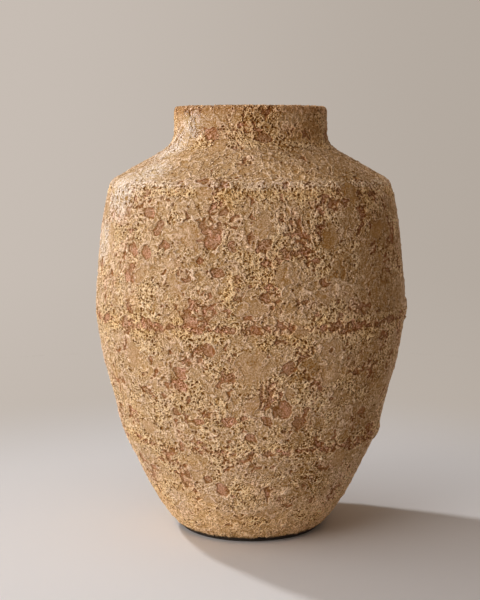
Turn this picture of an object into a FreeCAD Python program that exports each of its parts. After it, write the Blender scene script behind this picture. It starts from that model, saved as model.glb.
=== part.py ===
import FreeCAD, Part
import math
import os

# A wide-shouldered storage jar, built from clay sections under a thick crater glaze.
# Millimetres. Z is the jar's axis, and the floor that it stands on is z = 0.

# Outside of the glaze: the height of each section, from the floor up
lower_wall_height = 120.0
middle_wall_height = 142.0
upper_wall_height = 152.6
shoulder_rise = 41.7
collar_height = 43.7

# Outside of the glaze: radii, and how far the joins lie inside the belly's radius
foot_radius = 81.5
belly_radius = 182.8
lower_join_draw = 30.3
shoulder_edge_draw = 18.7
neck_radius = 89.4

# Roundings of that outside
shoulder_rounding = 22.0
neck_root_rounding = 26.0
lip_rounding = 5.0
least_rounding_share = 0.1

# How the wall swells between those places: (share of the rise, share of the widening)
lower_swell_shares = [(0.10, 0.176), (0.25, 0.365), (0.50, 0.608), (0.75, 0.807)]
middle_swell_shares = [(0.28, 0.32), (0.56, 0.677), (0.81, 0.894)]
upper_swell_shares = [(0.25, 0.086), (0.50, 0.28), (0.74, 0.53), (0.90, 0.80)]

# Layers and pieces
glaze_thickness = 2.2
wall_thickness = 9.0
base_thickness = 13.0
pad_thickness = 4.5
pad_margin = 0.5
rim_coil_height = 14.0
join_coil_radius = 6.0
join_bevel_angle = 30.0
cut_overrun = 10.0

# Worked out from the sizes above
belly_height = lower_wall_height + middle_wall_height
shoulder_edge_height = belly_height + upper_wall_height
neck_root_height = shoulder_edge_height + shoulder_rise
jar_height = neck_root_height + collar_height
base_top = pad_thickness + base_thickness
inner_inset = glaze_thickness + wall_thickness
mouth_radius = neck_radius - inner_inset
pad_radius = foot_radius + pad_margin
foot = FreeCAD.Vector(foot_radius, 0, 0)
lower_join = FreeCAD.Vector(belly_radius - lower_join_draw, 0, lower_wall_height)
belly = FreeCAD.Vector(belly_radius, 0, belly_height)
shoulder_edge = FreeCAD.Vector(belly_radius - shoulder_edge_draw, 0, shoulder_edge_height)
neck_root = FreeCAD.Vector(neck_radius, 0, neck_root_height)
neck_top = FreeCAD.Vector(neck_radius, 0, jar_height)
axis_point = FreeCAD.Vector(0, 0, 0)
axis_up = FreeCAD.Vector(0, 0, 1)


def direction(start, end):
    """The unit vector from start to end."""
    step = end.sub(start)
    return step.normalize()


def inward(along):
    """The unit vector into the wall, square to a profile that runs along this direction."""
    return FreeCAD.Vector(-along.z, 0, along.x)


def between(start, end, rise_share, widening_share):
    """A profile point at these shares of the way from start to end."""
    radius = start.x + (end.x - start.x) * widening_share
    height = start.z + (end.z - start.z) * rise_share
    return FreeCAD.Vector(radius, 0, height)


def body_stations():
    """The profile's points from the foot to the shoulder edge, on the outside of the glaze."""
    stations = [foot]
    spans = [
        (foot, lower_join, lower_swell_shares),
        (lower_join, belly, middle_swell_shares),
        (belly, shoulder_edge, upper_swell_shares),
    ]
    for start, end, shares in spans:
        stations += [between(start, end, *share) for share in shares]
        stations.append(end)
    return stations


def moved_inward(stations, inset):
    """The same points, each moved into the wall by inset, square to the profile."""
    moved = []
    for number, here in enumerate(stations[:-1]):
        before = stations[max(number - 1, 0)]
        along = direction(before, stations[number + 1])
        moved.append(here + inward(along) * inset)
    return moved


def moved_corner(corner, before, after, inset):
    """A corner between two straight runs, moved so that both runs move into the wall by inset."""
    first = inward(direction(before, corner))
    second = inward(direction(corner, after))
    middle = (first + second).normalize()
    return corner + middle * (inset / middle.dot(first))


def rounding(corner, before, after, radius):
    """The arc that rounds a corner of the profile off with this radius."""
    first = direction(before, corner)
    second = direction(corner, after)
    half_turn = first.getAngle(second) / 2
    reach = radius * math.tan(half_turn)
    depth = radius / math.cos(half_turn) - radius
    middle = corner + (second - first).normalize() * depth
    return Part.Arc(corner - first * reach, middle, corner + second * reach)


def line(start, end):
    return Part.LineSegment(start, end).toShape()


def outlined(points):
    """The flat face with straight edges through these points."""
    edges = [line(start, end) for start, end in zip(points, points[1:] + points[:1])]
    return Part.Face(Part.Wire(edges))


def turned(section):
    """The solid that a half section of the jar makes when it turns about the jar's axis."""
    solids = [face.revolve(axis_point, axis_up, 360) for face in section.Faces]
    return solids[0] if len(solids) == 1 else Part.makeCompound(solids)


def form(inset, top, lip_radius):
    """The half section inside the jar's outside, drawn in by inset and cut off at top."""
    stations = body_stations()
    last = stations[-2]
    edge = moved_corner(shoulder_edge, last, neck_root, inset)
    root = moved_corner(neck_root, shoulder_edge, neck_top, inset)
    crown = FreeCAD.Vector(root.x, 0, top)
    centre_top = FreeCAD.Vector(0, 0, top)
    body = moved_inward(stations, inset)

    edge_radius = max(shoulder_rounding - inset, shoulder_rounding * least_rounding_share)
    edge_arc = rounding(edge, body[-1], root, edge_radius)
    root_arc = rounding(root, edge, crown, neck_root_rounding + inset)
    side = Part.BSplineCurve()
    side.interpolate(body + [edge_arc.StartPoint])
    edges = [side.toShape(), edge_arc.toShape()]
    edges += [line(edge_arc.EndPoint, root_arc.StartPoint), root_arc.toShape()]
    if lip_radius > 0:
        lip_arc = rounding(crown, root, centre_top, lip_radius)
        edges += [line(root_arc.EndPoint, lip_arc.StartPoint), lip_arc.toShape()]
        edges.append(line(lip_arc.EndPoint, centre_top))
    else:
        edges += [line(root_arc.EndPoint, crown), line(crown, centre_top)]
    centre_bottom = FreeCAD.Vector(0, 0, body[0].z)
    edges += [line(centre_top, centre_bottom), line(centre_bottom, body[0])]
    return Part.Face(Part.Wire(edges))


def layer(bottom, top, radius=belly_radius + cut_overrun):
    """The half section of a disc between two heights, wider than the jar if no radius is given."""
    return outlined([
        FreeCAD.Vector(0, 0, bottom),
        FreeCAD.Vector(radius, 0, bottom),
        FreeCAD.Vector(radius, 0, top),
        FreeCAD.Vector(0, 0, top),
    ])


def space_above(point, into_wall, bevel_angle):
    """All the section above a join that crosses the wall at point, its inner end tilted down."""
    tilt = math.radians(bevel_angle)
    across = FreeCAD.Vector(
        into_wall.x * math.cos(tilt) - into_wall.z * math.sin(tilt),
        0,
        into_wall.x * math.sin(tilt) + into_wall.z * math.cos(tilt),
    )
    outer_end = point - across * cut_overrun
    inner_end = point + across * (inner_inset + cut_overrun)
    far = belly_radius + cut_overrun
    top = jar_height + cut_overrun
    return outlined([
        outer_end,
        inner_end,
        FreeCAD.Vector(0, 0, inner_end.z),
        FreeCAD.Vector(0, 0, top),
        FreeCAD.Vector(far, 0, top),
        FreeCAD.Vector(far, 0, outer_end.z),
    ])


def joins():
    """Where the clay sections meet, from the lowest up: a point, the way inward, the bevel."""
    lower_along = direction(
        between(foot, lower_join, *lower_swell_shares[-1]),
        between(lower_join, belly, *middle_swell_shares[0]),
    )
    belly_along = direction(
        between(lower_join, belly, *middle_swell_shares[-1]),
        between(belly, shoulder_edge, *upper_swell_shares[0]),
    )
    shoulder_along = direction(shoulder_edge, neck_root)
    upper_along = direction(between(belly, shoulder_edge, *upper_swell_shares[-1]), shoulder_edge)
    rim_point = FreeCAD.Vector(neck_radius, 0, jar_height - rim_coil_height)
    return [
        (lower_join, inward(lower_along), join_bevel_angle),
        (belly, inward(belly_along), join_bevel_angle),
        (shoulder_edge, inward((upper_along + shoulder_along).normalize()), 0),
        (neck_root, inward((shoulder_along + axis_up).normalize()), 0),
        (rim_point, inward(axis_up), 0),
    ]


def clay_sections(clay_wall):
    """The wall cut at each join, lowest section first."""
    sections = []
    rest = clay_wall
    for point, into_wall, bevel_angle in joins():
        above = space_above(point, into_wall, bevel_angle)
        sections.append(rest.cut(above))
        rest = rest.common(above)
    sections.append(rest)
    return sections


def join_coil(centre, cavity):
    """A coil of clay pressed along a join on the inside: the half of it outside the wall."""
    across = FreeCAD.Vector(0, 1, 0)
    ring = Part.Circle(centre, across, join_coil_radius).toShape()
    return Part.Face(Part.Wire(ring)).common(cavity)


def floor_corner(cavity):
    """The point where the inside of the wall meets the base slab."""
    floor = min(cavity.Edges, key=lambda edge: edge.CenterOfMass.z)
    return FreeCAD.Vector(floor.BoundBox.XMax, 0, base_top)


def lip_flare():
    """The rounded inner edge that the glaze has at the mouth, as the section to cut away."""
    corner = FreeCAD.Vector(mouth_radius, 0, jar_height)
    low = FreeCAD.Vector(mouth_radius, 0, jar_height - glaze_thickness)
    out = FreeCAD.Vector(mouth_radius + glaze_thickness, 0, jar_height)
    arc = rounding(corner, low, out, glaze_thickness)
    centre_low = FreeCAD.Vector(0, 0, low.z)
    centre_top = FreeCAD.Vector(0, 0, jar_height)
    edges = [line(centre_low, low), arc.toShape(), line(out, centre_top)]
    edges.append(line(centre_top, centre_low))
    return Part.Face(Part.Wire(edges))


def half_sections():
    """The half section of every piece of the jar, by name."""
    glaze_form = form(0, jar_height, lip_rounding)
    clay_top = jar_height - glaze_thickness
    clay_lip = max(lip_rounding - glaze_thickness, lip_rounding * least_rounding_share)
    clay_form = form(glaze_thickness, clay_top, clay_lip)
    cavity = form(inner_inset, jar_height + cut_overrun, 0)
    cavity = cavity.common(layer(base_top, jar_height + cut_overrun))

    pieces = {}
    pieces["foot_pad"] = layer(0, pad_thickness, pad_radius)
    pieces["base_slab"] = clay_form.common(layer(pad_thickness, base_top))

    clay_wall = clay_form.common(layer(base_top, jar_height)).cut(cavity)
    section_names = ["lower_wall", "middle_wall", "upper_wall"]
    section_names += ["shoulder_section", "neck_collar", "rim_coil"]
    pieces.update(zip(section_names, clay_sections(clay_wall)))

    pieces["base_corner_coil"] = join_coil(floor_corner(cavity), cavity)
    coil_names = ["lower_join_coil", "belly_join_coil", "shoulder_join_coil"]
    for name, (point, into_wall, bevel_angle) in zip(coil_names, joins()):
        pieces[name] = join_coil(point + into_wall * inner_inset, cavity)

    glaze = glaze_form.common(layer(pad_thickness, jar_height)).cut(clay_form)
    pieces["crater_glaze"] = glaze.cut(cavity).cut(lip_flare())
    return pieces


os.makedirs("parts", exist_ok=True)
for name, section in half_sections().items():
    piece = turned(section)
    piece.exportStep(f"parts/{name}.step")
    box = piece.BoundBox
    print(name, len(piece.Solids), "solid", piece.isValid(), round(piece.Volume), "mm3")
    print("  z", round(box.ZMin, 2), round(box.ZMax, 2), "r", round(box.XMax, 2))
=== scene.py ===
import math
from itertools import product

import bpy
import numpy as np
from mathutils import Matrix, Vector
from mathutils.bvhtree import BVHTree


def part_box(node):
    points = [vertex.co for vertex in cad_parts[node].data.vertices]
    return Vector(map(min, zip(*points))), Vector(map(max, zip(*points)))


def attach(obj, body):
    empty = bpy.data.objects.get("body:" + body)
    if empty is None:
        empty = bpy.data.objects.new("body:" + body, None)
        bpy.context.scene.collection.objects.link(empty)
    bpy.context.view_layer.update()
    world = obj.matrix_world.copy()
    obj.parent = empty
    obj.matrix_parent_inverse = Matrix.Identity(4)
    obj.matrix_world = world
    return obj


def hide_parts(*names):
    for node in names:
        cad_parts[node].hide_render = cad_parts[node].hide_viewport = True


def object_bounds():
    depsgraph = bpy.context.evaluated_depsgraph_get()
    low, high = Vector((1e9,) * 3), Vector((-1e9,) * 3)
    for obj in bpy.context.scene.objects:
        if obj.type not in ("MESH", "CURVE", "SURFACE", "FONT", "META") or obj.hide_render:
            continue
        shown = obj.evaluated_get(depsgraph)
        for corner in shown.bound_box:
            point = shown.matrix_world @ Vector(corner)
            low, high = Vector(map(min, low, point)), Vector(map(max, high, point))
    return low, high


# A wide-shouldered storage jar under a thick crater glaze, in a plain pale studio.
# The scene is in metres. The glaze is worked out in millimetres, and MM turns it into metres.

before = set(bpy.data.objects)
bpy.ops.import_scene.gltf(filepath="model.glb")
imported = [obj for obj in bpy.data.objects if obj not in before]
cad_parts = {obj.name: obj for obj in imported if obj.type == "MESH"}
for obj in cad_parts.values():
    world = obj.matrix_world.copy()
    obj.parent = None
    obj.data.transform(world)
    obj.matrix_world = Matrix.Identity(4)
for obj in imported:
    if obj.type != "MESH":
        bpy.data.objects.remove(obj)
cad_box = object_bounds()

MM = 0.001

# Camera: where the photograph was taken from, in metres, and how far it looks down, in radians
CAMERA_PLACE = (-0.0123, -1.5416, 0.46175)
CAMERA_TILT_DOWN = 0.1228
LENS_MM = 78.0
SENSOR_MM = 36.0
FARTHEST_SEEN = 50.0
IMAGE_WIDTH = 480
IMAGE_HEIGHT = 600
FOCAL_PIXELS = IMAGE_HEIGHT * LENS_MM / SENSOR_MM

# Studio, in metres: a pale floor that runs into a round backdrop, all round the jar. Between the
# two fade distances from the jar, the floor takes on the backdrop's tone, a painted light that
# falls off from left to right over a set distance either side of the middle.
FLOOR_RINGS = (0.001, 0.1, 0.3, 0.6, 1.0)
FLOOR_EDGE = 1.30
FLOOR_SIDES = 96
BACKDROP_RADIUS = 3.2
BACKDROP_COVE = 0.5
BACKDROP_HEIGHT = 3.6
BACKDROP_SIDES = 128
COVE_POINTS = 12
FADE_START = 0.36
FADE_END = 0.85
PAINTED_FALLOFF_REACH = 0.95

# Lights: the key comes from behind on the left, and three soft ones light the side that shows
KEY_TOWARDS = (-0.786, 0.618)
KEY_ELEVATION = 46.0
KEY_STRENGTH = 1.25
KEY_SPREAD = 4.0
LAMPS = {
    "side window": {
        "place": (-2.2, 0.0, 0.7), "size": 1.6, "power": 13.0, "colour": (0.93, 1.0, 1.05),
    },
    "front window": {
        "place": (-1.7, -1.5, 0.9), "size": 1.6, "power": 27.0, "colour": (1.05, 0.98, 0.93),
    },
    "ceiling": {
        "place": (-0.3, -0.3, 2.4), "size": 1.8, "power": 8.0, "colour": (1.0, 1.0, 1.0),
    },
}
AMBIENT_COLOUR = (1.0, 0.75, 0.56)
AMBIENT_STRENGTH = 0.2
JAR_MIDDLE = (0.0, 0.0, 0.25)

# Glaze crust: points around, the step between rows in millimetres, and the rows in one ring. Each
# ring has a map of its own, in sectors with a margin as a share of the map.
AROUND = 1200
STEP = 0.95
RING_ROWS = 82
MAP_SECTORS = 4
MAP_MARGIN = 0.004


def read_size(metres):
    """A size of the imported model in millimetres, to a tenth."""
    return round(metres / MM, 1)


# The jar under the crust, in millimetres
JAR_HEIGHT = read_size(cad_box[1][2])
PAD_RADIUS = read_size(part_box("foot_pad")[1].x)
PAD_TOP = read_size(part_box("foot_pad")[1].z)
LIP_ROUNDING = 5.0
GLAZE_THICKNESS = 2.2
MOUTH_RADIUS = 78.2

# How the crust's outline is read: turns about the axis in radians, and how far out in metres the
# rays start. The points on the lip and on the smaller rounding into the mouth are counts.
READ_TURNS = (0.013, 0.31, 0.62, 0.94)
READ_FROM = 0.4
LIP_POINTS = 6
MOUTH_POINTS = 4

# The crust's outline: steps along the wall, and its lower edge on the pad, in millimetres. The
# foot's rounding is points (in from the wall, up from the pad). Forms that stand off the surface
# fade out towards the outline's two ends, as (where they are gone, where they are full).
OUTLINE_STEP = 2.5
WALL_START = 1.6
EDGE_INSET = 0.6
EDGE_RISE = 0.1
FOOT_ROUNDING = ((1.8, EDGE_RISE), (0.5, 0.6))
END_FADE = (1.0, 8.0)

# Sizes in the glaze, in millimetres: how far apart its forms lie, how far from every blister or
# crater a gap opens in thick glaze, how wide its pits are, and how far its fields reach
BLISTER_SPACING = 8.6
CRATER_SPACING = 5.2
PIT_SPACING = 4.1
WORM_SPACING = 6.2
RUN_SIZE = 15.0
RUN_STEEPNESS = 7.0
BLISTER_GAP = 7.2
CRATER_GAP = 4.5
DOME_EDGE = 4.6
DOME_TOP = 1.0
LEAST_PIT_RADIUS = 0.8
PIT_RADIUS_SPREAD = 1.1
FIELD_REACH = 3
PIT_FIELD_REACH = 2

# How the pattern is pushed about, as (distance and lump size in millimetres, salt)
BENT_PUSHES = ((1.3, 6.0, 11), (0.7, 2.6, 12))
LOOSE_PUSHES = ((6.0, 15.0, 13), (2.5, 5.0, 14))

# Heights and depths of the crust's forms, in millimetres
HIGHEST = 1.5
LOWEST = -2.0
SKIN_DEPTH = 0.35
SHOULDER_BAND_HEIGHT = 0.6
DOME_HEIGHT = 0.75
WORM_HEIGHT = 0.4
LIP_HEIGHT = 0.5
SEAM_HEIGHT = 0.5
PIT_DEPTH = 1.2
OPENING_DEPTH = 1.3
SMOOTH_RISE = 0.3
LUMP_HEIGHT = 2.6

# Bands round the jar, as (height of the middle, half width)
UNDER_SHOULDER = (406, 12)
BELLY_JOIN = (258, 20)
LOWER_JOIN = (124, 14)
SHOULDER_EDGE = (413, 8)
NECK_ROOT = (456, 7)
BELLY_GROOVE = (261, 9)
LOWER_GROOVE = (121, 8)

# Heights over which the glaze changes, as (where that starts, where it is full)
SHOULDER_START = (414, 422)
SHOULDER_END = (458, 446)
CALM_FOOT = (75, 20)
CLOSED_FOOT = (70, 25)
LIGHT_FOOT = (110, 40)
OCHRE_FOOT = (90, 20)
OCHRE_NECK = (448, 462)
BRINK = (487, 497)
# The near-black line at the foot: partly a dark edge, partly painted shade under the crust's overhang
FOOT_SHADE_LINE = (8.5, 4.5)

# Bands beside the edges of the crust's forms, in millimetres, as (start, full, fading, end).
# Inside the form is positive.
RIM_BAND = (-1.5, -0.95, -0.3, -0.05)
EDGE_SHADOW_BAND = (0.0, 0.4, 0.6, 1.3)
PIT_RIM_BAND = (-1.2, -0.65, -0.2, 0.05)
SEAM_SHADOW_BAND = (0.6, 0.9, 1.3, 1.8)

# Grain in the materials, as lumps per metre
GRAINS = 520.0
FINE_GRAINS = 900.0
PINHOLES = 320.0
PINHOLE_BENDS = 330.0
HUE_PATCHES = 55.0
CLAY_PATCHES = 28.0
CLAY_GRIT = 700.0
THROWING_RINGS = 38.0
FIBRES = 900.0
PAPER_GRAIN = 900.0

# Tone limits: how light and how dark a spot may get, narrower under the painted highlight and in the
# pale shoulder band, and how strongly a lighter and a darker tone act on red, green and blue
LIGHTEST = 0.85
DARKEST = -1.5
LIGHTEST_IF_LIT_AND_PALE = 0.35
DARKEST_IF_LIT_AND_PALE = -0.8
TONE_POWERS = ((0.86, 0.71), (1.03, 1.17), (1.40, 2.6))

# Repeatable noise: numbers that mix a cell's place into its own number, steps between salts, a
# cell's empty margin as a share of it, and values that stand for far away
CELL_PRIMES = (73856093, 19349663, 83492791)
SALT_PRIME = 7919
AXIS_SALT = 31
LAYER_SALT = 101
LAYERS_REACH = 1.3
MIXERS = (0x7FEB352D, 0x846CA68B)
OWN_MIXER = 2654435761
CELL_MARGIN = 0.06
FAR = 9.0
FAR_OUTSIDE = -3.0

# Places that the photograph shows, as (column, row, size in millimetres)
BARE_PATCHES = [
    (210, 132, 10), (264, 139, 8), (213, 240, 11), (219, 275, 8), (146, 255, 9), (180, 374, 10),
    (181, 389, 8), (196, 423, 9), (227, 420, 11), (253, 440, 7), (285, 411, 11), (299, 423, 7),
    (206, 350, 9), (143, 459, 9), (223, 490, 8), (209, 480, 7), (123, 322, 10), (146, 324, 9),
    (188, 322, 8), (246, 317, 6), (266, 247, 8), (160, 226, 8), (250, 330, 5), (185, 282, 7),
    (150, 213, 7), (133, 252, 8), (128, 275, 7), (163, 248, 7), (206, 224, 8), (222, 214, 7),
    (200, 262, 7), (234, 246, 7), (290, 370, 8), (268, 425, 6), (175, 412, 6), (330, 352, 7),
]
SMOOTH_PATCHES = [
    (189, 236, 15), (264, 228, 12), (111, 237, 12), (141, 271, 11), (169, 263, 9), (177, 285, 13),
    (350, 191, 12), (332, 239, 13), (375, 226, 12), (285, 275, 12), (324, 298, 11), (134, 354, 14),
    (252, 366, 22), (331, 375, 15), (292, 395, 8), (337, 459, 12), (213, 498, 11), (267, 514, 12),
    (250, 310, 14), (300, 330, 10), (203, 194, 10), (245, 170, 10), (257, 405, 9),
    (183, 121, 16), (187, 141, 13), (107, 208, 13), (103, 232, 12), (116, 186, 12), (99, 275, 11),
    (206, 116, 11), (222, 118, 11), (218, 146, 10), (196, 470, 12), (150, 430, 12), (330, 350, 12),
]
BLISTERS = [
    (187, 205, 5.5), (181, 221, 5.0), (194, 218, 5.5), (170, 265, 7.0), (189, 272, 5.5),
    (187, 234, 9.0), (283, 229, 8.0), (224, 236, 5.0), (331, 375, 9.0), (281, 393, 6.0),
    (127, 338, 9.0), (216, 252, 5.0),
]
# Painted highlight: where the light falls on the jar's upper left, its shoulder and left side are made
# paler
PAINTED_HIGHLIGHT_PLACES = [
    (192, 126, 24), (172, 150, 36), (150, 172, 42), (120, 192, 44), (104, 240, 34), (96, 300, 30),
]
# Painted shade: mostly on the jar's shaded right side, with a few darker spots elsewhere
PAINTED_SHADE_PLACES = [
    (380, 235, 80), (385, 300, 80), (375, 370, 80), (362, 430, 60), (318, 128, 40), (262, 120, 34),
    (358, 185, 60), (310, 440, 40), (310, 482, 44), (322, 240, 26), (345, 268, 26), (285, 150, 34),
    (308, 372, 26), (204, 262, 22), (232, 194, 22),
]
PITTED_PATCHES = [
    (324, 317, 14), (291, 339, 14), (234, 281, 14), (229, 301, 13), (205, 442, 8), (219, 338, 12),
    (260, 350, 12), (250, 260, 16), (258, 280, 14), (306, 350, 14), (180, 330, 13), (240, 430, 14),
]

# Lumps on the right-hand outline, as (height, size in millimetres)
OUTLINE_LUMPS = [(111, 8), (117, 12), (258, 11), (268, 13)]


def srgb(red, green, blue):
    """A colour given from 0 to 255, as the linear colour that a shader takes."""
    shares = [channel / 255 for channel in (red, green, blue)]
    linear = [s / 12.92 if s <= 0.04045 else ((s + 0.055) / 1.055) ** 2.4 for s in shares]
    return (*linear, 1.0)


# Layers of the glaze's colour, each over the ones before it, as (mask, strength, colour)
HUE_LAYERS = [
    ("boiled", 0.5, srgb(204, 166, 106)),
    ("ochre", 0.35, srgb(214, 166, 96)),
    ("thin", 0.25, srgb(206, 152, 112)),
    ("smooth", 0.6, srgb(206, 172, 138)),
    ("dome", 0.25, srgb(226, 194, 158)),
    ("brink", 0.5, srgb(182, 132, 86)),
]
SKIN_HUES = (srgb(190, 156, 116), srgb(199, 165, 125))
OPENING_HUES = (srgb(162, 119, 87), srgb(187, 133, 103))
# The paler hue of the painted highlight on the lit left, and of the band along the shoulder edge
LIT_AND_PALE_HUE = srgb(238, 218, 196)
# Near-black at the foot: partly a dark edge, partly painted shade where the crust overhangs the pad
FOOT_SHADE_HUE = srgb(62, 46, 34)
CLAY_HUES = (srgb(164, 108, 78), srgb(186, 132, 100))
GRIT_HUE = srgb(110, 70, 48)
PAD_HUES = (srgb(34, 29, 25), srgb(58, 49, 41))
# Backdrop tones on the lit left and the shaded right: a painted falloff of light
BACKDROP_LIT_AND_SHADED_HUES = (srgb(199, 189, 180), srgb(179, 169, 159))
PAPER_HUES = (srgb(226, 226, 228), srgb(218, 218, 220))


# Repeatable noise, worked out on arrays of points. The salt picks one noise of many.

def hashed(cells, salt):
    """A repeatable whole number for each lattice cell."""
    cells = cells.astype(np.int32).astype(np.uint32)
    number = cells[:, 0] * np.uint32(CELL_PRIMES[0])
    number ^= cells[:, 1] * np.uint32(CELL_PRIMES[1])
    number ^= cells[:, 2] * np.uint32(CELL_PRIMES[2])
    number += np.uint32(salt * SALT_PRIME)
    number ^= number >> np.uint32(16)
    number *= np.uint32(MIXERS[0])
    number ^= number >> np.uint32(15)
    number *= np.uint32(MIXERS[1])
    number ^= number >> np.uint32(16)
    return number


def noise(points, size, salt):
    """Smooth noise from -1 to 1, with lumps of this size."""
    scaled = points / size
    base = np.floor(scaled)
    share = scaled - base
    share = share * share * (3 - 2 * share)
    total = np.zeros(len(points), np.float32)
    for corner in product((0, 1), repeat=3):
        weight = np.ones(len(points), np.float32)
        for axis, high in enumerate(corner):
            weight *= share[:, axis] if high else 1 - share[:, axis]
        total += weight * (hashed(base + corner, salt) * np.float32(2.0 ** -32))
    return total * 2 - 1


def layered_noise(points, size, salt, layers):
    """Noise with finer and weaker layers added, about -1 to 1."""
    total = 0
    strength = 1.0
    for layer in range(layers):
        total = total + strength * noise(points, size * 0.5 ** layer, salt + LAYER_SALT * layer)
        strength *= 0.5
    return total / LAYERS_REACH


def pushed(points, pushes):
    """The points, pushed about by a noise along each axis."""
    moved = points
    for distance, size, salt in pushes:
        shifts = [noise(points, size, salt + AXIS_SALT * axis) for axis in range(3)]
        moved = moved + distance * np.stack(shifts, axis=1)
    return moved


def scattered_cells(points, size, salt):
    """Distance to the nearest scattered seed, and that seed's random number from 0 to 1."""
    scaled = points / size
    base = np.floor(scaled)
    nearest = np.full(len(points), FAR, np.float32)
    chosen = np.zeros(len(points), np.float32)
    for step in product((-1, 0, 1), repeat=3):
        cells = base + step
        number = hashed(cells, salt)
        distance = np.zeros(len(points), np.float32)
        for axis in range(3):
            jitter = ((number >> np.uint32(10 * axis)) & np.uint32(1023)).astype(np.float32) / 1023
            shift = (1 - 2 * CELL_MARGIN) * jitter
            distance += (cells[:, axis] + CELL_MARGIN + shift - scaled[:, axis]) ** 2
        closer = distance < nearest
        own = ((number * np.uint32(OWN_MIXER)) >> np.uint32(8)).astype(np.float32) / 2.0 ** 24
        chosen = np.where(closer, own, chosen)
        nearest = np.where(closer, distance, nearest)
    return np.sqrt(nearest) * size, chosen


def another_number(own, times):
    """One more random number from 0 to 1, made out of a seed's own."""
    return np.modf(own * times)[0]


def ramp(value, start, end):
    """Goes smoothly from 0 at start to 1 at end."""
    share = np.clip((value - start) / (end - start), 0, 1)
    return share * share * (3 - 2 * share)


def belt(height, middle, half_width):
    """1 at a height on the jar, falling to 0 at half_width above and below."""
    return ramp(half_width - np.abs(height - middle), 0, half_width)


# Outline of the glaze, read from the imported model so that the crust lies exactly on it

def tree_of(node):
    """The node's own triangles, for casting rays at it."""
    mesh = node.data
    mesh.calc_loop_triangles()
    corners = [vertex.co.copy() for vertex in mesh.vertices]
    return BVHTree.FromPolygons(corners, [tuple(t.vertices) for t in mesh.loop_triangles])


glaze_tree = tree_of(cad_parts["crater_glaze"])


def outside_radius(height):
    """The glaze's outside radius at a height, the largest of a few sides, in millimetres."""
    found = []
    for turn in READ_TURNS:
        side = Vector((math.cos(turn), math.sin(turn), 0))
        start = side * READ_FROM + Vector((0, 0, height * MM))
        place, _, _, _ = glaze_tree.ray_cast(start, -side)
        found.append(math.hypot(place.x, place.y) / MM)
    return max(found)


def lip_points(neck_radius):
    """Points over the lip: its outer rounding, and then the smaller one into the mouth."""
    points = []
    for turn in np.linspace(0, math.pi / 2, LIP_POINTS):
        out = neck_radius - LIP_ROUNDING + LIP_ROUNDING * math.cos(turn)
        up = JAR_HEIGHT - LIP_ROUNDING + LIP_ROUNDING * math.sin(turn)
        points.append((out, up))
    for turn in np.linspace(math.pi / 2, math.pi, MOUTH_POINTS):
        out = MOUTH_RADIUS + GLAZE_THICKNESS + GLAZE_THICKNESS * math.cos(turn)
        up = JAR_HEIGHT - GLAZE_THICKNESS + GLAZE_THICKNESS * math.sin(turn)
        points.append((out, up))
    return points


def crust_outline():
    """Points of the crust's outline, from the pad's edge, up the outside and over the lip."""
    heights = np.arange(PAD_TOP + WALL_START, JAR_HEIGHT - LIP_ROUNDING, OUTLINE_STEP)
    wall = [(outside_radius(height), height) for height in heights]
    foot_radius = wall[0][0]
    neck_radius = wall[-1][0]
    under = [(PAD_RADIUS - EDGE_INSET, PAD_TOP + EDGE_RISE)]
    under += [(foot_radius - inward, PAD_TOP + up) for inward, up in FOOT_ROUNDING]
    return np.array(under + wall + lip_points(neck_radius))


def even_steps(outline, step):
    """The same line, with points an even step apart."""
    lengths = np.hypot(*np.diff(outline, axis=0).T)
    along = np.concatenate([[0], np.cumsum(lengths)])
    places = np.linspace(0, along[-1], int(along[-1] / step) + 1)
    return np.stack([np.interp(places, along, outline[:, axis]) for axis in (0, 1)], axis=1)


def seen_place(column, row):
    """The point of the glaze that the photograph shows at this pixel, in millimetres."""
    across = (column - IMAGE_WIDTH / 2) / FOCAL_PIXELS
    up = (IMAGE_HEIGHT / 2 - row) / FOCAL_PIXELS
    cosine, sine = math.cos(CAMERA_TILT_DOWN), math.sin(CAMERA_TILT_DOWN)
    towards = Vector((across, cosine + up * sine, -sine + up * cosine)).normalized()
    place, _, _, _ = glaze_tree.ray_cast(Vector(CAMERA_PLACE), towards)
    return None if place is None else np.array(place) / MM


def near_places(points, places):
    """How near each point is to the listed places: 1 at a place, 0 at its edge, less outside."""
    closeness = np.full(len(points), FAR_OUTSIDE, np.float32)
    for column, row, size in places:
        centre = seen_place(column, row)
        if centre is None:
            continue
        distance = np.linalg.norm(points - centre.astype(np.float32), axis=1)
        closeness = np.maximum(closeness, 1 - distance / size)
    return closeness


def near_outline_lumps(points):
    """How near each point is to the lumps that stand off the outline on the right."""
    closeness = np.full(len(points), FAR_OUTSIDE, np.float32)
    for height, size in OUTLINE_LUMPS:
        radius = outside_radius(height)
        turn = -math.asin(radius * MM / abs(CAMERA_PLACE[1]))
        centre = np.array([radius * math.cos(turn), radius * math.sin(turn), height], np.float32)
        closeness = np.maximum(closeness, 1 - np.linalg.norm(points - centre, axis=1) / size)
    return closeness


# The crater glaze's pattern. A mask runs from 0 to 1. A field is a distance in millimetres, and the
# material turns it into a crisp edge: it is positive inside an opening or a pit, and zero along a
# worm or a seam. Weights in the sums, and the limits of the ramps over them, are given one by one.

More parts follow.
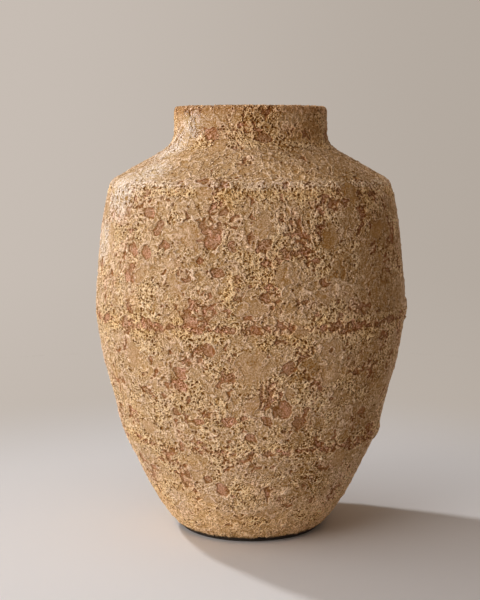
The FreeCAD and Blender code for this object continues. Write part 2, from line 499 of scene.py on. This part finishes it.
class Spots:
    """Points of the plain surface in millimetres, with what several forms of the glaze share.

    The bent points are pushed about a little, for forms that are nearly round, and the loose ones
    more, for ragged patches.
    """

    def __init__(self, points):
        self.points = points
        self.height = points[:, 2]
        self.bent = pushed(points, BENT_PUSHES)
        self.loose = pushed(points, LOOSE_PUSHES)
        self.broad = layered_noise(points, 62.0, 21, 2)
        self.ragged = 1.1 * noise(points, 6.0, 16) + 0.8 * noise(points, 2.6, 19)
        self.pitted_here = np.maximum(near_places(self.loose, PITTED_PATCHES), 0)
        self.belts = 1.2 * self.belt(UNDER_SHOULDER)
        self.belts = self.belts + 0.8 * self.belt(BELLY_JOIN) + 0.7 * self.belt(LOWER_JOIN)
        self.shoulder = self.over(SHOULDER_START) * self.over(SHOULDER_END)
        self.blister_near, self.blister_own = scattered_cells(self.bent, BLISTER_SPACING, 44)

    def belt(self, band):
        return belt(self.height, *band)

    def over(self, heights):
        return ramp(self.height, *heights)


def boiling(spots):
    """Where the crust has boiled into a cream web, and where it has stayed a smooth skin."""
    medium = layered_noise(spots.loose, 18.0, 22, 3)
    boil = 0.1 * spots.broad + 0.9 * medium + 0.6 * spots.belts + spots.pitted_here
    boil -= 0.2 * spots.over(CALM_FOOT) + 0.4 * spots.shoulder
    boil += 0.7 * spots.belt(NECK_ROOT)
    smooth_here = near_places(spots.loose, SMOOTH_PATCHES)
    smooth = ramp(smooth_here + 0.35 * noise(spots.points, 6.0, 15), -0.1, 0.25)
    return ramp(boil, -0.1, 0.4) * (1 - 0.9 * smooth), smooth


def thinness(spots):
    """Where the glaze is thin: along the grooves of the joins, and in patches."""
    wavy_height = spots.height + 4 * noise(spots.points, 30.0, 72)
    thin = layered_noise(spots.loose + 20, 19.0, 71, 3) + 0.1 * spots.broad
    thin += belt(wavy_height, *BELLY_GROOVE) + 0.7 * spots.belt(LOWER_GROOVE)
    thin -= 0.3 * spots.shoulder
    return ramp(thin, -0.1, 0.8) * (1 - 0.8 * spots.over(CLOSED_FOOT))


def opening_field(spots, thin, smooth):
    """Openings down to the red clay: gaps left between round blisters, and burst bubbles."""
    crater_near, _ = scattered_cells(spots.bent, CRATER_SPACING, 45)
    wide_gaps = spots.blister_near - BLISTER_GAP + 2.7 * thin
    gaps = np.maximum(wide_gaps, crater_near - CRATER_GAP + 1.7 * thin)
    bare_here = near_places(spots.loose, BARE_PATCHES)
    opening = np.maximum(gaps, 6.5 * bare_here - 0.5 + spots.ragged)
    return np.clip(opening - 2.5 * smooth, -FIELD_REACH, FIELD_REACH)


def pit_field(spots, boiled, thin, smooth, open_share):
    """Pits, each as wide as chance makes it, and few where the glaze is calm."""
    near, own = scattered_cells(spots.bent, PIT_SPACING, 41)
    radius = LEAST_PIT_RADIUS + PIT_RADIUS_SPREAD * another_number(own, 9.7)
    left_out = own > 0.1 + 0.75 * boiled + 0.2 * thin - 0.4 * smooth
    return np.clip(radius - near - 2.5 * left_out - 2 * open_share, -FIELD_REACH, PIT_FIELD_REACH)


def worm_field(spots, boiled, thin, smooth, open_share):
    """Cream worms that curl among the pits, along the line where this field is zero."""
    curl = noise(spots.bent, WORM_SPACING, 61) * WORM_SPACING * 0.5
    busy = boiled + 0.5 * thin + 0.5 * noise(spots.points, 14.0, 62)
    return curl + (2.2 * ramp(busy, 0.7, 0.25) + 0.4 * open_share + 2 * smooth)


def seam_field(spots, smooth):
    """Long seams where one run of glaze has stopped against the next, where this is zero."""
    seam = RUN_STEEPNESS * noise(spots.loose, RUN_SIZE, 63) + 0.4 * spots.ragged
    seam = seam + 2.5 * ramp(noise(spots.points, 22.0, 64), 0.0, -0.3)
    return seam + 2 * smooth


def blister_domes(spots):
    """Low domes: some of the scattered blisters, and the large ones of the photograph."""
    scattered = ramp(spots.blister_near, DOME_EDGE, DOME_TOP) * ramp(spots.blister_own, 0.5, 0.85)
    return np.maximum(scattered, ramp(near_places(spots.bent, BLISTERS), 0.0, 0.5))


def colour_masks(spots):
    """Masks for colour and lightness alone, among them painted highlight on the lit left, painted
    shade on the right side and the shoulder, and painted shade at the foot.
    """
    warm = 0.7 * noise(spots.points, 26.0, 91) + 0.6 * spots.belts + 0.8 * spots.pitted_here
    warm = warm + spots.over(OCHRE_FOOT) + 0.5 * spots.over(OCHRE_NECK)
    # Painted highlight where the light falls on the upper left, with a paler band along the shoulder
    # edge
    highlight_here = ramp(near_places(spots.points, PAINTED_HIGHLIGHT_PLACES), 0.0, 0.8)
    # Painted shade on the shaded right side and over the listed places
    shade_here = ramp(near_places(spots.points, PAINTED_SHADE_PLACES), 0.0, 0.8)
    return {
        "clay": ramp(another_number(spots.blister_own, 5.3), 0.2, 0.8),
        "lit_and_pale": np.maximum(highlight_here, 0.2 * spots.belt(SHOULDER_EDGE)),
        "low": spots.over(LIGHT_FOOT),
        # Painted shade on the upward-facing shoulder too
        "painted_shade": np.maximum(shade_here, 0.35 * spots.shoulder),
        "ochre": ramp(warm, 0.1, 0.9),
        "brink": spots.over(BRINK),
        # Painted shade at the foot, over a dark edge
        "foot": spots.over(FOOT_SHADE_LINE),
    }


def crust_relief(spots, masks, open_share):
    """How far the crust stands off the plain surface, in millimetres."""
    lip = np.exp(-((masks["opening"] + 0.75) / 0.6) ** 2)
    worm = np.exp(-(masks["curl"] / 0.75) ** 2)
    seam = np.exp(-(masks["seam"] / 0.9) ** 2) * (1 - open_share) * (1 - masks["boiled"])
    pit = ramp(masks["pit"], -0.4, 0.5)
    relief = -SKIN_DEPTH + 0.35 * noise(spots.points, 11.0, 81) + 0.25 * noise(spots.points, 3.4, 82)
    relief = relief + SHOULDER_BAND_HEIGHT * spots.belt(SHOULDER_EDGE)
    relief = relief + DOME_HEIGHT * masks["dome"] + WORM_HEIGHT * worm
    relief = relief + LIP_HEIGHT * lip + SEAM_HEIGHT * seam - PIT_DEPTH * pit
    bottom = -OPENING_DEPTH + 0.25 * noise(spots.points, 4.0, 83)
    relief = relief * (1 - open_share) + open_share * bottom
    relief = np.clip(relief + SMOOTH_RISE * masks["smooth"], LOWEST, HIGHEST)
    return relief + LUMP_HEIGHT * ramp(near_outline_lumps(spots.bent), 0.0, 0.7)


def crater_pattern(points):
    """The crust's relief in millimetres, and its masks and fields, for points of the surface."""
    spots = Spots(points)
    boiled, smooth = boiling(spots)
    thin = thinness(spots)
    opening = opening_field(spots, thin, smooth)
    open_share = ramp(opening, -0.35, 0.45)
    masks = {
        "opening": opening,
        "pit": pit_field(spots, boiled, thin, smooth, open_share),
        "curl": worm_field(spots, boiled, thin, smooth, open_share),
        "seam": seam_field(spots, smooth),
        "boiled": boiled,
        "thin": thin,
        "smooth": smooth,
        "dome": blister_domes(spots) * (1 - open_share),
    }
    masks.update(colour_masks(spots))
    return crust_relief(spots, masks, open_share), masks


# The crust's mesh

def ring_map(column, row, around, count):
    """The ring's own map, its sectors laid one above the other, for the corners of its faces."""
    per_sector = around // MAP_SECTORS
    sector = column // per_sector
    left = (column - sector * per_sector) / per_sector
    right = (column + 1 - sector * per_sector) / per_sector
    low, high = row / count, (row + 1) / count
    across = np.stack([left, right, right, left], axis=-1)
    up = np.stack([low, low, high, high], axis=-1)
    map_u = MAP_MARGIN + across * (1 - 2 * MAP_MARGIN)
    map_v = (sector[..., None] + MAP_MARGIN + up * (1 - 2 * MAP_MARGIN)) / MAP_SECTORS
    return np.stack([map_u, map_v], axis=-1)


def ring_mesh(name, places, normals, masks, rows):
    """A ring of the crust between two rows of the grid, with its masks and its own map."""
    first, last = rows
    around = places.shape[1]
    count = last - first
    mesh = bpy.data.meshes.new(name)
    mesh.vertices.add((count + 1) * around)
    mesh.vertices.foreach_set("co", places[first:last + 1].astype(np.float32).ravel())
    column, row = np.meshgrid(np.arange(around), np.arange(count))
    following = (column + 1) % around
    corners = np.stack([
        row * around + column,
        row * around + following,
        (row + 1) * around + following,
        (row + 1) * around + column,
    ], axis=-1).astype(np.int32)
    faces = count * around
    mesh.loops.add(faces * 4)
    mesh.loops.foreach_set("vertex_index", corners.ravel())
    mesh.polygons.add(faces)
    mesh.polygons.foreach_set("loop_start", np.arange(0, faces * 4, 4, dtype=np.int32))
    mesh.update(calc_edges=True)
    mesh.shade_smooth()

    layer = mesh.uv_layers.new(name="OFBake")
    map_places = ring_map(column, row, around, count)
    layer.uv.foreach_set("vector", map_places.astype(np.float32).ravel())
    for mask, values in masks.items():
        attribute = mesh.attributes.new(mask, "FLOAT", "POINT")
        part = values.reshape(places.shape[:2])[first:last + 1]
        attribute.data.foreach_set("value", part.astype(np.float32).ravel())
    mesh.validate()
    mesh.normals_split_custom_set_from_vertices(normals[first:last + 1].reshape(-1, 3))
    return mesh


def make_crust(material):
    """The glaze crust in rings, each a piece of its own. The grid starts and ends at the back."""
    outline = even_steps(crust_outline(), STEP)
    along = np.gradient(outline, axis=0)
    along /= np.hypot(along[:, 0], along[:, 1])[:, None]
    outward = np.stack([along[:, 1], -along[:, 0]], axis=1)
    angles = math.pi / 2 + np.arange(AROUND) * (2 * math.pi / AROUND)
    cosine, sine = np.cos(angles)[None, :], np.sin(angles)[None, :]

    def turned(radial, upward):
        upward = np.repeat(upward[:, None], AROUND, axis=1)
        return np.stack([radial[:, None] * cosine, radial[:, None] * sine, upward], axis=-1)

    plain = turned(outline[:, 0], outline[:, 1])
    square = turned(outward[:, 0], outward[:, 1])
    relief, masks = crater_pattern(plain.reshape(-1, 3).astype(np.float32))
    relief = relief.reshape(plain.shape[:2])
    ends = np.minimum(np.arange(len(outline)), np.arange(len(outline))[::-1]) * STEP
    relief = np.where(relief > 0, relief * ramp(ends, *END_FADE)[:, None], relief)
    places = (plain + square * relief[..., None]) * MM

    step_around = np.roll(places, -1, axis=1) - np.roll(places, 1, axis=1)
    step_up = np.gradient(places, axis=0)
    normals = np.cross(step_around, step_up)
    normals /= np.linalg.norm(normals, axis=-1, keepdims=True)

    rows = len(outline) - 1
    rings = max(1, math.ceil(rows / RING_ROWS))
    borders = np.linspace(0, rows, rings + 1).astype(int)
    for ring in range(rings):
        name = f"glaze_ring_{ring + 1:02d}"
        mesh = ring_mesh(name, places, normals, masks, (borders[ring], borders[ring + 1]))
        piece = bpy.data.objects.new(name, mesh)
        bpy.context.scene.collection.objects.link(piece)
        mesh.materials.append(material)
        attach(piece, "root")
        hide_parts("crater_glaze")


# Materials

class Nodes:
    """A short way to write a material's node tree."""

    def __init__(self, name):
        self.material = bpy.data.materials.new(name)
        self.material.use_nodes = True
        self.tree = self.material.node_tree
        self.tree.nodes.clear()
        self.output = self.tree.nodes.new("ShaderNodeOutputMaterial")

    def add(self, kind, settings=None, **inputs):
        node = self.tree.nodes.new(kind)
        for key, value in (settings or {}).items():
            setattr(node, key, value)
        for key, value in inputs.items():
            self.set(node, key.replace("_", " "), value)
        return node

    def set(self, node, key, value):
        socket = node.inputs[key]
        if isinstance(value, bpy.types.NodeSocket):
            self.tree.links.new(value, socket)
        else:
            socket.default_value = value

    def number(self, operation, first, second=0.0):
        node = self.add("ShaderNodeMath", {"operation": operation})
        self.set(node, 0, first)
        self.set(node, 1, second)
        return node.outputs[0]

    def times(self, first, second):
        return self.number("MULTIPLY", first, second)

    def sum(self, total, value, weight):
        """total and this many times value."""
        node = self.add("ShaderNodeMath", {"operation": "MULTIPLY_ADD"})
        self.set(node, 0, value)
        self.set(node, 1, weight)
        self.set(node, 2, total)
        return node.outputs[0]

    def add_up(self, parts):
        """The sum of all (value, weight) parts, each value times its weight."""
        first, weight = parts[0]
        total = self.times(first, weight)
        for value, weight in parts[1:]:
            total = self.sum(total, value, weight)
        return total

    def vector(self, operation, first, second):
        node = self.add("ShaderNodeVectorMath", {"operation": operation})
        self.set(node, 0, first)
        self.set(node, 1, second)
        return node.outputs[0]

    def between(self, value, start, end, low=0.0, high=1.0):
        """Goes smoothly from low at start to high at end."""
        node = self.add("ShaderNodeMapRange", {"interpolation_type": "SMOOTHSTEP"})
        self.set(node, "Value", value)
        self.set(node, "From Min", start)
        self.set(node, "From Max", end)
        self.set(node, "To Min", low)
        self.set(node, "To Max", high)
        return node.outputs[0]

    def within(self, value, start, full, fading, end):
        """1 from full to fading, and 0 before start and after end."""
        return self.times(self.between(value, start, full), self.between(value, fading, end, 1.0, 0.0))

    def blend(self, share, first, second, mode="MIX"):
        node = self.add("ShaderNodeMix", {"data_type": "RGBA", "blend_type": mode})
        self.set(node, 0, share)
        self.set(node, 6, first)
        self.set(node, 7, second)
        return node.outputs[2]

    def mask(self, name):
        return self.add("ShaderNodeAttribute", {"attribute_name": name}).outputs["Fac"]

    def place(self):
        return self.add("ShaderNodeTexCoord").outputs["Object"]

    def noise(self, place, scale, detail=2.0):
        node = self.add("ShaderNodeTexNoise", Vector=place, Scale=scale, Detail=detail)
        return node.outputs["Fac"]

    def finish(self, shader):
        """The material, with this shader on its surface."""
        self.set(self.output, "Surface", shader.outputs[0])
        return self.material


def crust_forms(n, grains, fine):
    """The crust's fields as crisp forms, each from 0 to 1, their edges made ragged by the grains."""
    wobble = n.add_up([(grains, 1.3), (fine, 0.6)])
    opening = n.sum(n.mask("opening"), wobble, 1.0)
    pit = n.sum(n.mask("pit"), wobble, 0.5)
    curl = n.number("ABSOLUTE", n.sum(n.mask("curl"), wobble, 0.35))
    seam = n.sum(n.mask("seam"), wobble, 0.4)
    hole = n.between(pit, 0.0, 0.35)
    no_hole = n.between(hole, 0.0, 0.5, 1.0, 0.0)
    return {
        "floor": n.between(opening, 0.0, 0.4),
        "edge shadow": n.within(opening, *EDGE_SHADOW_BAND),
        "rim": n.within(opening, *RIM_BAND),
        "hole": hole,
        "hole rim": n.within(pit, *PIT_RIM_BAND),
        "worm": n.times(n.between(curl, 0.3, 0.7, 1.0, 0.0), no_hole),
        "seam line": n.between(n.number("ABSOLUTE", seam), 0.35, 0.75, 1.0, 0.0),
        "seam shadow": n.within(seam, *SEAM_SHADOW_BAND),
    }


def pinhole_forms(n, place, floor):
    """Pinholes and the cream rings round them, finer than the crust's grid can carry."""
    push = n.add("ShaderNodeTexNoise", Vector=place, Scale=PINHOLE_BENDS, Detail=1.0)
    push = n.vector("SUBTRACT", push.outputs["Color"], (0.5, 0.5, 0.5))
    bent = n.vector("ADD", place, n.vector("MULTIPLY", push, (3 * MM, 3 * MM, 3 * MM)))
    seeds = n.add("ShaderNodeTexVoronoi", {"feature": "F1"}, Vector=bent, Scale=PINHOLES)
    own = n.add("ShaderNodeSeparateColor", Color=seeds.outputs["Color"]).outputs[0]
    chosen = n.between(own, 0.3, 0.4)
    near = seeds.outputs["Distance"]

    off_floor = n.between(floor, 0.0, 1.0, 1.0, 0.5)
    lively = n.times(off_floor, n.between(n.mask("smooth"), 0.0, 1.0, 1.0, 0.25))
    lively = n.times(lively, n.between(n.mask("boiled"), 0.0, 0.8, 0.15, 1.1))
    lively = n.times(lively, n.between(n.mask("lit_and_pale"), 0.0, 1.0, 1.0, 0.5))
    return {
        "pinhole": n.times(n.times(n.between(near, 0.24, 0.38, 1.0, 0.0), chosen), lively),
        "ring": n.times(n.times(n.between(near, 0.38, 0.5), chosen), lively),
    }


def glaze_hue(n, place, forms):
    """The glaze's colour before it is made lighter or darker."""
    patches = n.noise(place, HUE_PATCHES, 3.0)
    hue = n.blend(n.between(patches, 0.35, 0.65), *SKIN_HUES)
    for mask, strength, colour in HUE_LAYERS:
        hue = n.blend(n.times(n.mask(mask), strength), hue, colour)
    clay = n.blend(n.mask("clay"), *OPENING_HUES)
    hue = n.blend(n.times(forms["floor"], 0.76), hue, clay)
    # Painted highlight on the lit left, and a paler band along the shoulder edge
    return n.blend(n.times(n.mask("lit_and_pale"), 0.8), hue, LIT_AND_PALE_HUE)


def glaze_tone(n, forms, grains, fine):
    """How light each spot is, as a logarithm: worms and rims are light; painted shade darkens the
    listed shaded places, the shoulder, the pits, the pinholes and the edges.
    """
    boiled = n.mask("boiled")
    smooth = n.mask("smooth")
    calm = n.between(boiled, 0.0, 0.8, 1.0, 0.0)
    speck = n.add_up([(grains, 2.4), (fine, 6.0)])
    rough = n.between(boiled, 0.0, 0.8, 0.5, 0.8)
    return n.add_up([
        (forms["worm"], n.between(boiled, 0.0, 1.0, 0.2, 0.62)),
        # Painted shade over the listed places and the shoulder
        (n.mask("painted_shade"), -0.4),
        (n.mask("low"), 0.12),
        (n.mask("brink"), -0.15),
        (n.between(boiled, 0.0, 0.8, 0.03, 0.22), -1.0),
        (forms["rim"], 0.46),
        (n.times(forms["seam line"], calm), 0.28),
        (n.times(forms["seam shadow"], calm), -0.25),
        (n.times(forms["hole rim"], n.between(boiled, 0.0, 1.0, 0.35, 1.0)), 0.65),
        (forms["ring"], 0.5),
        (forms["edge shadow"], -0.5),
        (n.mask("dome"), 0.14),
        (smooth, -0.06),
        # Painted shade inside the holes and pinholes, over their own brown
        (forms["hole"], -1.25),
        (forms["pinhole"], -1.6),
        (speck, n.times(rough, n.between(smooth, 0.0, 1.0, 1.0, 0.8))),
    ])


def toned(n, hue, tone):
    """The hue made lighter or darker by the tone, within its limits."""
    # Under the painted highlight, and in the pale shoulder band, the tone keeps narrower limits
    lit_and_pale = n.mask("lit_and_pale")
    lightest = n.between(lit_and_pale, 0.0, 1.0, LIGHTEST, LIGHTEST_IF_LIT_AND_PALE)
    darkest = n.between(lit_and_pale, 0.0, 1.0, DARKEST, DARKEST_IF_LIT_AND_PALE)
    light = n.number("MINIMUM", n.number("MAXIMUM", tone, 0.0), lightest)
    dark = n.number("MAXIMUM", n.number("MINIMUM", tone, 0.0), darkest)
    channels = [
        n.number("EXPONENT", n.add_up([(light, light_power), (dark, dark_power)]))
        for light_power, dark_power in TONE_POWERS
    ]
    tint = n.add("ShaderNodeCombineColor", Red=channels[0], Green=channels[1], Blue=channels[2])
    return n.blend(1.0, hue, tint.outputs[0], "MULTIPLY")


def glaze_bump(n, forms, grains, fine):
    """The fine relief of the glaze, on top of the crust's own."""
    height = n.add_up([
        (grains, 0.5),
        (fine, 0.35),
        (forms["worm"], n.between(n.mask("boiled"), 0.0, 1.0, 0.25, 0.5)),
        (n.sum(forms["seam line"], forms["rim"], 1.0), 0.35),
        (forms["hole"], -0.28),
        (forms["pinhole"], -0.35),
        (forms["hole rim"], 0.4),
        (forms["ring"], 0.2),
    ])
    bump = n.add("ShaderNodeBump", Height=height, Strength=0.85, Distance=1.8 * MM)
    return bump.outputs[0]


def glaze_material():
    """Buff crater glaze: a tan skin with cream worms and rims, brown pits darkened with painted shade,
    and red clay openings, under painted highlight and shade in places.
    """
    n = Nodes("crater glaze")
    place = n.place()
    grains = n.number("SUBTRACT", n.noise(place, GRAINS, 1.0), 0.5)
    fine = n.number("SUBTRACT", n.noise(place, FINE_GRAINS, 1.0), 0.5)
    forms = crust_forms(n, grains, fine)
    forms.update(pinhole_forms(n, place, forms["floor"]))

    colour = toned(n, glaze_hue(n, place, forms), glaze_tone(n, forms, grains, fine))
    # Painted shade at the foot: the crust's lowest band turns near-black, over a dark edge
    colour = n.blend(n.mask("foot"), colour, FOOT_SHADE_HUE)
    roughness = n.between(forms["floor"], 0.0, 1.0, 0.86, 0.72)
    bump = glaze_bump(n, forms, grains, fine)
    shader = n.add("ShaderNodeBsdfPrincipled", Base_Color=colour, Roughness=roughness, Normal=bump)
    shader.inputs["Specular IOR Level"].default_value = 0.2
    return n.finish(shader)


def matte(n, colour, height, strength, distance, roughness):
    """A matte material of this colour, with a bump of this height."""
    bump = n.add("ShaderNodeBump", Height=height, Strength=strength, Distance=distance).outputs[0]
    return n.finish(n.add(
        "ShaderNodeBsdfPrincipled", Base_Color=colour, Roughness=roughness, Normal=bump,
    ))


def clay_material():
    """Bare fired clay, with the throwing rings and grit of the inside of a jar."""
    n = Nodes("bare clay")
    place = n.place()
    patches = n.noise(place, CLAY_PATCHES, 3.0)
    grit = n.noise(place, CLAY_GRIT, 3.0)
    rings = n.add(
        "ShaderNodeTexWave", {"bands_direction": "Z"},
        Vector=place, Scale=THROWING_RINGS, Distortion=3.0, Detail=2.0,
    )
    colour = n.blend(n.between(patches, 0.35, 0.65), *CLAY_HUES)
    colour = n.blend(n.between(grit, 0.55, 0.75, 0.0, 0.6), colour, GRIT_HUE)
    height = n.add_up([(rings.outputs["Fac"], 0.8), (grit, 0.35)])
    return matte(n, colour, height, strength=0.7, distance=1.2 * MM, roughness=0.85)


def pad_material():
    """Dark matte felt and rubber under the foot."""
    n = Nodes("foot pad")
    fibres = n.noise(n.place(), FIBRES, 4.0)
    colour = n.blend(n.between(fibres, 0.3, 0.7), *PAD_HUES)
    return matte(n, colour, fibres, strength=0.5, distance=0.5 * MM, roughness=0.95)


# Studio

def lathe(name, outline, around, material):
    """A surface turned round the Z axis from (radius, height) points, in metres."""
    corners, faces = [], []
    for radius, height in outline:
        for step in range(around):
            turn = 2 * math.pi * step / around
            corners.append((radius * math.cos(turn), radius * math.sin(turn), height))
    for row in range(len(outline) - 1):
        low, high = row * around, (row + 1) * around
        for step in range(around):
            following = (step + 1) % around
            faces.append((low + step, low + following, high + following, high + step))
    mesh = bpy.data.meshes.new(name)
    mesh.from_pydata(corners, [], faces)
    mesh.materials.append(material)
    mesh.shade_smooth()
    thing = bpy.data.objects.new(name, mesh)
    bpy.context.scene.collection.objects.link(thing)
    return thing


def backdrop_glow_with_painted_falloff(n, position):
    """A glow in warm grey, with painted light that falls off from left to right."""
    across = n.add("ShaderNodeSeparateXYZ", Vector=position).outputs["X"]
    colour = n.blend(n.between(across, -PAINTED_FALLOFF_REACH, PAINTED_FALLOFF_REACH), *BACKDROP_LIT_AND_SHADED_HUES)
    return n.add("ShaderNodeEmission", Color=colour, Strength=1.0)


def backdrop_material():
    n = Nodes("backdrop")
    return n.finish(backdrop_glow_with_painted_falloff(n, n.add("ShaderNodeNewGeometry").outputs["Position"]))


def floor_material():
    """Matte paper floor that runs into the backdrop's glow away from the jar, a painted light that
    falls off from left to right.
    """
    n = Nodes("floor")
    position = n.add("ShaderNodeNewGeometry").outputs["Position"]
    grain = n.noise(position, PAPER_GRAIN, 2.0)
    colour = n.blend(n.between(grain, 0.3, 0.7, 0.0, 0.12), *PAPER_HUES)
    paper = n.add("ShaderNodeBsdfDiffuse", Color=colour)
    far = n.add("ShaderNodeVectorMath", {"operation": "LENGTH"})
    n.set(far, 0, position)
    both = n.add("ShaderNodeMixShader", Fac=n.between(far.outputs["Value"], FADE_START, FADE_END))
    n.set(both, 1, paper.outputs[0])
    n.set(both, 2, backdrop_glow_with_painted_falloff(n, position).outputs[0])
    return n.finish(both)


def make_studio():
    floor_rings = [(radius, 0.0) for radius in (*FLOOR_RINGS, FLOOR_EDGE)]
    lathe("floor", floor_rings, FLOOR_SIDES, floor_material())
    outline = [(FLOOR_EDGE, 0.0), (BACKDROP_RADIUS - BACKDROP_COVE, 0.0)]
    for turn in np.linspace(0, math.pi / 2, COVE_POINTS)[1:]:
        out = BACKDROP_RADIUS - BACKDROP_COVE + BACKDROP_COVE * math.sin(turn)
        outline.append((out, BACKDROP_COVE - BACKDROP_COVE * math.cos(turn)))
    outline.append((BACKDROP_RADIUS, BACKDROP_HEIGHT))
    backdrop = lathe("backdrop", outline, BACKDROP_SIDES, backdrop_material())
    backdrop.visible_diffuse = False
    backdrop.visible_shadow = False


def make_key_light():
    """The sun-like key, which draws the jar's shadow."""
    key = bpy.data.lights.new("key", "SUN")
    key.energy = KEY_STRENGTH
    key.angle = math.radians(KEY_SPREAD)
    elevation = math.radians(KEY_ELEVATION)
    level = math.cos(elevation)
    towards = Vector((KEY_TOWARDS[0] * level, KEY_TOWARDS[1] * level, math.sin(elevation)))
    key_object = bpy.data.objects.new("key", key)
    key_object.rotation_euler = towards.to_track_quat("Z", "Y").to_euler()
    bpy.context.scene.collection.objects.link(key_object)


def make_lamp(name, lamp):
    """A soft square lamp that faces the jar's middle and that the camera doesn't see."""
    light = bpy.data.lights.new(name, "AREA")
    light.shape = "SQUARE"
    light.size = lamp["size"]
    light.energy = lamp["power"]
    light.color = lamp["colour"]
    thing = bpy.data.objects.new(name, light)
    thing.location = lamp["place"]
    aim = Vector(JAR_MIDDLE) - Vector(lamp["place"])
    thing.rotation_euler = aim.to_track_quat("-Z", "Y").to_euler()
    thing.visible_camera = False
    bpy.context.scene.collection.objects.link(thing)


def make_ambient_light():
    world = bpy.data.worlds.new("ambient")
    world.use_nodes = True
    background = world.node_tree.nodes["Background"]
    background.inputs["Color"].default_value = (*AMBIENT_COLOUR, 1.0)
    background.inputs["Strength"].default_value = AMBIENT_STRENGTH
    bpy.context.scene.world = world


def make_camera():
    camera = bpy.data.cameras.new("camera")
    camera.lens = LENS_MM
    camera.sensor_width = SENSOR_MM
    camera.sensor_fit = "AUTO"
    camera.clip_end = FARTHEST_SEEN
    camera_object = bpy.data.objects.new("camera", camera)
    camera_object.location = CAMERA_PLACE
    camera_object.rotation_euler = (math.pi / 2 - CAMERA_TILT_DOWN, 0, 0)
    bpy.context.scene.collection.objects.link(camera_object)
    bpy.context.scene.camera = camera_object


bpy.context.scene.view_settings.view_transform = "Standard"
make_camera()
make_studio()
make_key_light()
for lamp_name, lamp in LAMPS.items():
    make_lamp(lamp_name, lamp)
make_ambient_light()
make_crust(glaze_material())

clay = clay_material()
pad = pad_material()
for node_name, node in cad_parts.items():
    node.data.materials.clear()
    node.data.materials.append(pad if node_name == "foot_pad" else clay)
